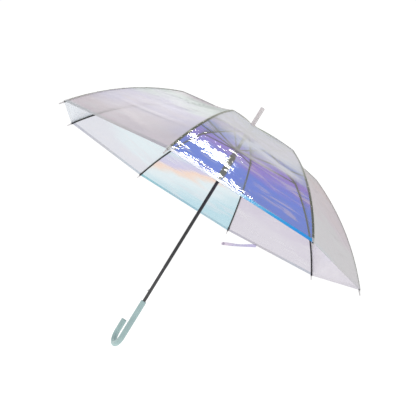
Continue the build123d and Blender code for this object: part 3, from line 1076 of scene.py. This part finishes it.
def repeat_group() -> bpy.types.NodeTree:
    """Geometry Nodes: flat dots along a line, square to it."""
    tree = bpy.data.node_groups.new("dots_along_line", "GeometryNodeTree")
    for label, kind in (
        ("Geometry", "NodeSocketGeometry"),
        ("Count", "NodeSocketInt"),
        ("Radius", "NodeSocketFloat"),
        ("Height", "NodeSocketFloat"),
        ("Finish", "NodeSocketMaterial"),
    ):
        tree.interface.new_socket(label, in_out="INPUT", socket_type=kind)
    tree.interface.new_socket("Geometry", in_out="OUTPUT", socket_type="NodeSocketGeometry")
    new, join = tree.nodes.new, tree.links.new
    entry, leave = new("NodeGroupInput"), new("NodeGroupOutput")
    curve, spaced = new("GeometryNodeMeshToCurve"), new("GeometryNodeResampleCurve")
    join(entry.outputs["Geometry"], curve.inputs[0])
    join(curve.outputs[0], spaced.inputs["Curve"])
    join(entry.outputs["Count"], spaced.inputs["Count"])
    dot, size = new("GeometryNodeMeshUVSphere"), new("ShaderNodeCombineXYZ")
    dot.inputs["Segments"].default_value, dot.inputs["Rings"].default_value = 12, 6
    dot.inputs["Radius"].default_value = 1.0
    for axis, source in (("X", "Radius"), ("Y", "Radius"), ("Z", "Height")):
        join(entry.outputs[source], size.inputs[axis])
    tangent = new("GeometryNodeInputTangent")
    side, above = new("ShaderNodeVectorMath"), new("ShaderNodeVectorMath")
    side.operation = above.operation = "CROSS_PRODUCT"
    side.inputs[0].default_value = (0.0, 0.0, 1.0)
    join(tangent.outputs[0], side.inputs[1])
    join(tangent.outputs[0], above.inputs[0])
    join(side.outputs[0], above.inputs[1])
    aim = new("FunctionNodeAlignRotationToVector")
    aim.axis = "Z"
    join(above.outputs[0], aim.inputs["Vector"])
    placed = new("GeometryNodeInstanceOnPoints")
    join(spaced.outputs[0], placed.inputs["Points"])
    join(dot.outputs["Mesh"], placed.inputs["Instance"])
    join(aim.outputs[0], placed.inputs["Rotation"])
    join(size.outputs[0], placed.inputs["Scale"])
    real, finish = new("GeometryNodeRealizeInstances"), new("GeometryNodeSetMaterial")
    join(placed.outputs[0], real.inputs[0])
    join(real.outputs[0], finish.inputs["Geometry"])
    join(entry.outputs["Finish"], finish.inputs["Material"])
    join(finish.outputs[0], leave.inputs[0])
    return tree


REPEAT = repeat_group()


def dots_along(
    name: str,
    line: np.ndarray,
    count: int,
    finish: Finish,
    radius: float = 1.5 * MM,
    height: float = 0.4 * MM,
) -> bpy.types.Object:
    """Dots along a line, as one mesh.

    Args:
        name: the piece's name.
        line: rows of x, y, z.
        count: how many dots.
        finish: of the dots.
        radius: of each dot.
        height: of each dot over the line.

    Returns:
        The new object.
    """
    mesh = bpy.data.meshes.new(name)
    mesh.from_pydata([tuple(p) for p in line], [(n, n + 1) for n in range(len(line) - 1)], [])
    made = bpy.data.objects.new(name, mesh)
    bpy.context.scene.collection.objects.link(made)
    repeat = made.modifiers.new("repeat", "NODES")
    repeat.node_group = REPEAT
    values = {"Count": count, "Radius": radius, "Height": height, "Finish": finish.material()}
    for socket in REPEAT.interface.items_tree:
        if socket.in_out == "INPUT" and socket.name in values:
            repeat[socket.identifier] = values[socket.name]
    graph = bpy.context.evaluated_depsgraph_get()
    baked = bpy.data.meshes.new_from_object(made.evaluated_get(graph), depsgraph=graph)
    made.modifiers.clear()
    made.data = baked
    baked.name = name
    baked.polygons.foreach_set("use_smooth", [True] * len(baked.polygons))
    return made


# ---- The closure strap ----


@dataclass
class ClosureStrap:
    """The film strap that hangs from the hem, with a snap near its free end."""

    canopy: Canopy
    finish: Finish
    rib: int = 8
    gore: int = 7
    share: float = 0.28
    sag: float = 3 * MM
    twist: float = 0.45
    twist_ends: float = 0.9
    taper_from: float = 0.95
    taper: float = 0.5
    width: float = 12 * MM
    rows: int = 33
    columns: int = 5

    def ends(self) -> tuple[np.ndarray, np.ndarray, np.ndarray]:
        """The strap's end at the hem, its free end and its sideways direction, on the frame's own strap."""
        mesh = frame["nodes"]["closure_strap"].data
        points = np.array([v.co[:] for v in mesh.vertices])
        middle = points.mean(axis=0)
        along, across, _ = np.linalg.svd(points - middle, full_matrices=False)[2]
        reach = (points - middle) @ along
        low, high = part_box("strap_snap")
        snap = (np.array(low) + np.array(high)) / 2
        tips = [middle + along * reach.min(), middle + along * reach.max()]
        tips.sort(key=lambda tip: -float(np.linalg.norm(tip - snap)))
        return tips[0], tips[1], across

    def build(self) -> None:
        """Builds the strap in place of the plain one."""
        held, free, level = self.ends()
        w = np.linspace(-1, 1, 81)
        hem = self.canopy.surface(self.gore, Patch(Half.OUTER), np.ones_like(w), w)
        held = hem[np.argmin(np.linalg.norm(hem - held, axis=1))]
        along = free - held
        square = np.cross(along, level) / np.linalg.norm(along)
        points, uv = [], []
        for t in np.linspace(0, 1, self.rows):
            place = held + along * t - np.array((0.0, 0.0, self.sag * math.sin(math.pi * t) ** 2))
            turn = self.twist * math.sin(math.pi * min(t / self.twist_ends, 1.0)) ** 2
            across = level * math.cos(turn) + square * math.sin(turn)
            for c in np.linspace(-1, 1, self.columns):
                narrow = 1 - self.taper * max(0.0, (t - self.taper_from) / (1 - self.taper_from)) ** 3
                points.append(place + across * c * narrow * self.width / 2)
                uv.append((0.5 + c / 2, t))
        made = mesh_object("strap_film", np.array(points), grid_faces(self.rows, self.columns), np.array(uv))
        attach(made, f"rib_outer_{self.rib}", self.finish)
        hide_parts("closure_strap")


# ---- Frame finishes ----


BARE_STEEL = Metal("bare_spring_steel", (0.5, 0.5, 0.51), 1.0, 0.3)
BLACK_RIB = Metal("black_rib_lacquer", (0.014, 0.014, 0.016), 0.0, 0.38, coat=0.2)
FRAME_FINISHES: dict[str, Finish] = {
    "shaft_tube": Metal("black_lacquer", (0.012, 0.012, 0.014), 0.0, 0.2, coat=0.6),
    "handle": MouldedPlastic("teal_handle_plastic", (0.36, 0.50, 0.49), 0.3, wear=0.1, parting_line=True),
    # The ferrule's glancing shade is a painted shade along its silhouette.
    "ferrule": MouldedPlastic(
        "pale_ferrule_plastic", (0.80, 0.75, 0.77), 0.3, translucency=0.2, alpha=0.85, glancing_shade=(0.55, 0.48, 0.52)
    ),
    "crown": MouldedPlastic("crown_plastic", (0.10, 0.10, 0.11), 0.45),
    "crown_wire": BARE_STEEL,
    "runner_wire": BARE_STEEL,
    "runner_hub": MouldedPlastic("runner_hub_plastic", (0.16, 0.16, 0.18), 0.45),
    "runner_sleeve": MouldedPlastic("runner_sleeve_plastic", (0.03, 0.03, 0.033), 0.4),
    "top_catch": BARE_STEEL,
    "bottom_catch": BARE_STEEL,
    "strap_snap": MouldedPlastic("strap_snap_plastic", (0.7, 0.7, 0.75), 0.3),
    # The white tips are painted mid grey: a painted shade that sets them off against the white backdrop.
    "rib_tip": MouldedPlastic("white_tip_painted_shade", (0.56, 0.54, 0.55), 0.35),
    "rib_inner": BLACK_RIB,
    "rib_outer": BLACK_RIB,
    "stretcher": BLACK_RIB,
}


def dress_frame() -> None:
    """Gives each node of the frame its finish, by the start of its name."""
    for name, node in frame["nodes"].items():
        finish = FRAME_FINISHES.get(name.rstrip("0123456789").rstrip("_"))
        if finish is not None:
            node.data.materials.clear()
            node.data.materials.append(finish.material())
            LOG.info("%s is dressed in %s", name, finish.name)


# ---- Studio ----


@dataclass
class Studio:
    """Pale floor, white backdrop, soft lights and the camera."""

    canopy: Canopy
    camera_place: tuple[float, float, float] = (-1.6493, 0.5766, 0.1971)
    camera_right: tuple[float, float, float] = (-0.33641, -0.78413, 0.52151)
    camera_back: tuple[float, float, float] = (-0.93642, 0.33720, -0.09706)
    lens: float = 52.5
    sensor: float = 36.0
    clip: Point2 = (0.01, 100.0)
    centre: Vector = field(default_factory=lambda: Vector((0.0, 0.0, 0.45)))
    strip_distance: float = 1.5
    strip_colour: RGB = (1.0, 0.97, 0.9)
    normal_reach: float = 0.04
    surround: float = 0.65
    surround_seen: float = 0.4
    floor_height: float = -0.6
    floor_size: float = 30.0
    floor_glow: float = 0.75

    def build(self) -> None:
        """Builds the whole studio."""
        self.backdrop()
        self.floor()
        self.lights()
        self.camera()
        bpy.context.scene.view_settings.view_transform = "Standard"

    def backdrop(self) -> None:
        """A white surround. What reflects in the film is a little darker than what shows behind it."""
        world = bpy.data.worlds.new("studio")
        world.use_nodes = True
        tree = NodeTree(world.node_tree)
        shade = world.node_tree.nodes["Background"]
        path = tree.add("LightPath")
        lit = tree.math("MULTIPLY_ADD", path.outputs["Is Camera Ray"], self.surround_seen, self.surround)
        tree.link(lit, shade.inputs["Strength"])
        shade.inputs["Color"].default_value = (1.0, 1.0, 1.0, 1.0)
        bpy.context.scene.world = world

    def floor(self) -> None:
        """A wide pale floor."""
        size = self.floor_size
        corners = np.array([(-size, -size, 0), (size, -size, 0), (size, size, 0), (-size, size, 0)], float)
        corners[:, 2] = self.floor_height
        made = mesh_object("floor", corners, [(0, 1, 2, 3)], smooth=False)
        material, _, shader = new_material("pale_floor")
        shader.inputs["Base Color"].default_value = (0.7, 0.7, 0.7, 1.0)
        shader.inputs["Roughness"].default_value = 0.9
        shader.inputs["Emission Color"].default_value = (1.0, 1.0, 1.0, 1.0)
        shader.inputs["Emission Strength"].default_value = self.floor_glow
        made.data.materials.append(material)

    def area_light(
        self, name: str, turn: Matrix, place: Vector, size: Point2, watts: float
    ) -> bpy.types.Object:
        """A rectangular soft light.

        Args:
            name: the light's name.
            turn: its rotation.
            place: its middle.
            size: its width and height.
            watts: its power.

        Returns:
            The light's object, in the scene.
        """
        data = bpy.data.lights.new(name, "AREA")
        data.shape = "RECTANGLE"
        data.size, data.size_y = size
        data.energy = watts
        lamp = bpy.data.objects.new(name, data)
        lamp.matrix_world = Matrix.Translation(place) @ turn.to_4x4()
        bpy.context.scene.collection.objects.link(lamp)
        LOG.info("%s is %.2f by %.2f m", name, *size)
        return lamp

    def lights(self) -> None:
        """Soft boxes above, to the side and behind, and the two strips that the gore with the painted
        reflection mirrors.
        """
        for name, place, size, watts in (
            ("key", (-1.6, 1.4, 2.2), 1.2, 9),
            ("fill", (-1.8, -1.6, 1.2), 1.6, 7),
            ("rim", (1.8, 0.8, 1.6), 1.4, 8),
        ):
            turn = (self.centre - Vector(place)).to_track_quat("-Z", "Y").to_matrix()
            self.area_light(name, turn, Vector(place), (size, size), watts)
        self.strip("strip_hem", 0.965, (-0.98, 0.05), 0.05, 4)
        self.strip("strip_middle", 0.77, (-0.95, -0.3), 0.06, 3)

    def strip(self, name: str, share: float, reach: Point2, width: float, watts: float) -> None:
        """A strip light placed where the film of the gore with the painted reflection mirrors it into the
        camera.

        Args:
            name: the light's name.
            share: where on the outer film its mirror image lies, from knee to rim.
            reach: where the image starts and ends, from -1 at one rib to 1 at the other.
            width: the strip's width.
            watts: its power.
        """
        eye, patch = np.array(self.camera_place), Patch(Half.OUTER)
        ends, points = [], []
        for w in reach:
            place = PAINTED_REFLECTION_GORE, patch, np.array([share]), np.array([w])
            point, normal = self.canopy.surface(*place)[0], self.canopy.normals(*place, self.normal_reach)[0]
            sight = (point - eye) / np.linalg.norm(point - eye)
            ends.append(Vector(point + self.strip_distance * (sight - 2 * (sight @ normal) * normal)))
            points.append(Vector(point))
        middle, aim = (ends[0] + ends[1]) / 2, (points[0] + points[1]) / 2
        back = (middle - aim).normalized()
        long = (ends[1] - ends[0]).normalized()
        long = (long - back * long.dot(back)).normalized()
        turn = Matrix((long, back.cross(long), back)).transposed()
        lamp = self.area_light(name, turn, middle, ((ends[1] - ends[0]).length, width), watts)
        lamp.data.color = self.strip_colour
        lamp.visible_diffuse = False

    def camera(self) -> None:
        """The camera, looking a little up at the canopy, rolled so that the shaft leans."""
        data = bpy.data.cameras.new("camera")
        data.lens = self.lens
        data.sensor_width = self.sensor
        data.clip_start, data.clip_end = self.clip
        view = bpy.data.objects.new("camera", data)
        right, back = Vector(self.camera_right).normalized(), Vector(self.camera_back).normalized()
        up = back.cross(right)
        turn = Matrix((right, up, back)).transposed().to_4x4()
        view.matrix_world = Matrix.Translation(self.camera_place) @ turn
        bpy.context.scene.collection.objects.link(view)
        bpy.context.scene.camera = view


def bands(*colours: RGB) -> tuple[tuple[float, RGB], ...]:
    """Colours spread evenly over the way from crown to rim.

    Args:
        *colours: from the crown on.

    Returns:
        (phase, colour) of each.
    """
    first, last = 0.15, 0.92
    step = (last - first) / max(1, len(colours) - 1)
    return tuple((first + step * n, colour) for n, colour in enumerate(colours))


CLEAR = (0.80, 0.80, 0.80)
ICE = (0.60, 0.76, 0.84)
SKY = (0.44, 0.72, 0.82)
LILAC = (0.56, 0.50, 0.84)
LAVENDER = (0.60, 0.56, 0.80)
PINK = (0.78, 0.62, 0.70)
ROSE = (0.86, 0.58, 0.60)
MINT = (0.58, 0.84, 0.70)
PEACH = (0.95, 0.70, 0.56)
FROST = (0.76, 0.88, 0.92)
SMOKE = (0.74, 0.75, 0.82)
DUSK = (0.62, 0.56, 0.68)
HAZE = (0.69, 0.65, 0.73)


def gore_finishes() -> list[Film]:
    """The film's finish in each gore: one has a painted reflection, the blue-violet of the dichroic film seen
    from this view painted into its colour, and the others are pastel.
    """
    pastel = {
        1: (CLEAR, MINT, ICE, FROST, SMOKE),
        2: (CLEAR, LILAC, PINK, MINT, ICE),
        3: (CLEAR, PINK, MINT, LILAC, PINK),
        5: (MINT, CLEAR, ROSE, PINK, CLEAR),
        6: (CLEAR, MINT, PINK, LAVENDER, DUSK),
        7: (CLEAR, PINK, LAVENDER, DUSK, HAZE),
    }
    made = {
        number: Film(f"film_pastel_{number}", bands(*tints), seed=2.3 * number)
        for number, tints in pastel.items()
    }
    far = ((0.15, CLEAR), (0.58, ICE), (0.70, LAVENDER), (0.74, PEACH), (0.80, FROST), (0.98, SKY))
    made[8] = Film("film_pastel_8", far, seed=18.4, slant=-0.25, wander=0.2)
    # Painted reflection colours, from yellow-green by the crown to deep blue by the rim.
    painted_reflection = (
        (0.10, (0.86, 0.92, 0.60)),
        (0.42, (0.34, 0.40, 0.98)),
        (0.54, (0.44, 0.34, 0.92)),
        (0.66, (0.24, 0.32, 1.00)),
        (0.78, (0.34, 0.18, 0.90)),
        (0.90, (0.06, 0.20, 1.00)),
    )
    made[PAINTED_REFLECTION_GORE] = Film(
        "film_painted_reflection",
        painted_reflection,
        body=(0.50, 0.51, 0.35),
        opacity=0.34,
        glancing_sheen=(0.84, 0.85, 0.78),
        veil_opacity=0.92,
        sheen_from=(0.46, 0.62),
        sheen_tint=0.15,
        streak=(0.72, 0.62, 0.86),
        streaks=0.6,
        wander=0.3,
        slant=0.12,
        roughness=0.05,
        ripple=0.32,
        index=2.2,
    )
    return [made[number] for number in range(1, RIB_COUNT + 1)]


def hem_finishes() -> list[Film]:
    """The hem's finish in each gore: on the gore with the painted reflection it turns half way from a painted
    highlight, near white, to a painted cyan reflection.
    """
    pale = Film("hem_pale", bands(FROST, CLEAR, SMOKE), opacity=0.3, turn=1.0, wander=0.1)
    teal = Film("hem_teal", bands(FROST, SKY, (0.25, 0.72, 0.80)), opacity=0.3, turn=1.0, wander=0.1)
    # Painted highlight and painted reflection: near white for the first half of the hem, cyan for the rest.
    painted_highlight_then_reflection = (
        (0.0, (0.9, 0.9, 0.9)),
        (0.44, (0.85, 0.9, 0.9)),
        (0.54, (0.02, 0.50, 0.86)),
        (1.0, (0.01, 0.38, 0.86)),
    )
    painted_reflection = Film(
        "hem_painted_highlight_and_reflection",
        painted_highlight_then_reflection,
        body_tint=1.0,
        opacity=0.75,
        sheen_from=(0.9, 1.0),
        turn=1.0,
        wander=0.05,
        streaks=0.1,
    )
    return [{PAINTED_REFLECTION_GORE: painted_reflection, 8: teal}.get(number, pale) for number in range(1, RIB_COUNT + 1)]


def main() -> None:
    """Builds every piece in order."""
    logging.basicConfig(level=logging.INFO, format="%(name)s: %(message)s")
    light, dark = (0.72, 0.74, 0.62), (0.05, 0.06, 0.04)
    across = ((0.0, light), (0.34, light), (0.44, dark), (0.56, dark), (0.66, light))
    seam = Film(
        "seam_weld", across, body=(0.16, 0.17, 0.13), opacity=0.45, glancing_sheen=(0.3, 0.31, 0.27), turn=1.0, wander=0.0
    )
    clear = bands(CLEAR, (0.86, 0.86, 0.86))
    corner = Film("corner_patch", clear, body=(0.8, 0.8, 0.8), opacity=0.5)
    rosette = Film("crown_patch", clear, body=(0.7, 0.72, 0.66), opacity=0.6)
    dots = MouldedPlastic("weld_dot_film", (0.62, 0.63, 0.58), 0.25, alpha=0.7)
    lilac = bands(LILAC, LAVENDER, PINK)
    strap = Film("strap_lilac", lilac, body=(0.62, 0.58, 0.72), opacity=0.55, glancing_sheen=(0.6, 0.56, 0.7))
    canopy = Canopy()
    canopy.build(gore_finishes(), hem_finishes(), seam, corner)
    canopy.build_rosette(rosette)
    canopy.build_welds(dots)
    ClosureStrap(canopy, strap).build()
    dress_frame()
    Studio(canopy).build()


if __name__ == "__main__":
    main()
